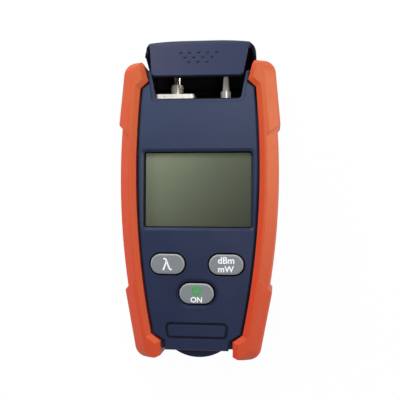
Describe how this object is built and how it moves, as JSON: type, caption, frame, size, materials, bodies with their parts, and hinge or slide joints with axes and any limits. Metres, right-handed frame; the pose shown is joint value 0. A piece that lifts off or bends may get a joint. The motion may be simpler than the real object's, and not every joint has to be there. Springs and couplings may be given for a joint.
{
  "type": "handheld optical power meter",
  "caption": "Handheld meter with a display and keys in a tapered plastic case, soft side bumpers and a hinged dust cover over its fibre ports.",
  "frame": {"origin": "middle of the resting outline on the table, under the rear lips of the bumpers", "axes": "+X to the right seen from the front, +Y towards the ports, +Z out of the front panel"},
  "size_m": [0.0648, 0.1274, 0.0339],
  "materials": {
    "housing": "fine moulded texture",
    "cover": "fine moulded texture",
    "bumper": "satin soft moulding",
    "pane": "clear",
    "black_trim": "matt",
    "display": "satin grey green",
    "inner_plastic": "natural",
    "strip_rubber": "matt",
    "board": "solder mask",
    "chip": "matt",
    "switch": "matt",
    "key": "satin",
    "plated_brass": "nickel plated",
    "sleeve_metal": "bright",
    "sleeve_ceramic": "polished",
    "can_metal": "bright",
    "steel": "zinc plated",
    "cell_jacket": "printed sleeve, plain",
    "contact_metal": "nickel plated"
  },
  "bodies": {
    "body": {"front_housing": "housing", "rear_housing": "housing", "battery_door": "housing", "left_bumper": "bumper", "right_bumper": "bumper", "display_window": "pane", "display_gasket": "black_trim", "display_panel": "display", "display_holder": "inner_plastic", "contact_strips": "strip_rubber", "port_block": "black_trim", "main_board": "board", "board_chips": "chip", "key_switches": "switch", "meter_flange": "plated_brass", "light_port": "plated_brass", "meter_sleeve": "sleeve_metal", "light_sleeve": "sleeve_ceramic", "detector_can": "can_metal", "emitter_can": "can_metal", "hinge_pins": "steel", "case_screws": "steel", "board_screws": "steel", "flange_screws": "steel", "door_screw": "steel", "battery_cells": "cell_jacket", "contact_bridge": "contact_metal", "contact_leaves": "contact_metal"},
    "cover": {"dust_cover": "cover"},
    "wavelength_key": {"wavelength_key": "key"},
    "unit_key": {"unit_key": "key"},
    "power_key": {"power_key": "key"}
  },
  "joints": [
    {"name": "cover_hinge", "type": "hinge", "parent": "body", "child": "cover", "pos_m": [0, 0.0492, 0.0102], "axis": [-1, 0, 0], "range_deg": [-24.5, 85.5]},
    {"name": "wavelength_press", "type": "slide", "parent": "body", "child": "wavelength_key", "axis": [0, 0, -1], "range_m": [0, 0.0006], "stiffness_N_per_m": 1500},
    {"name": "unit_press", "type": "slide", "parent": "body", "child": "unit_key", "axis": [0, 0, -1], "range_m": [0, 0.0006], "stiffness_N_per_m": 1500},
    {"name": "power_press", "type": "slide", "parent": "body", "child": "power_key", "axis": [0, 0, -1], "range_m": [0, 0.0006], "stiffness_N_per_m": 1500}
  ]
}
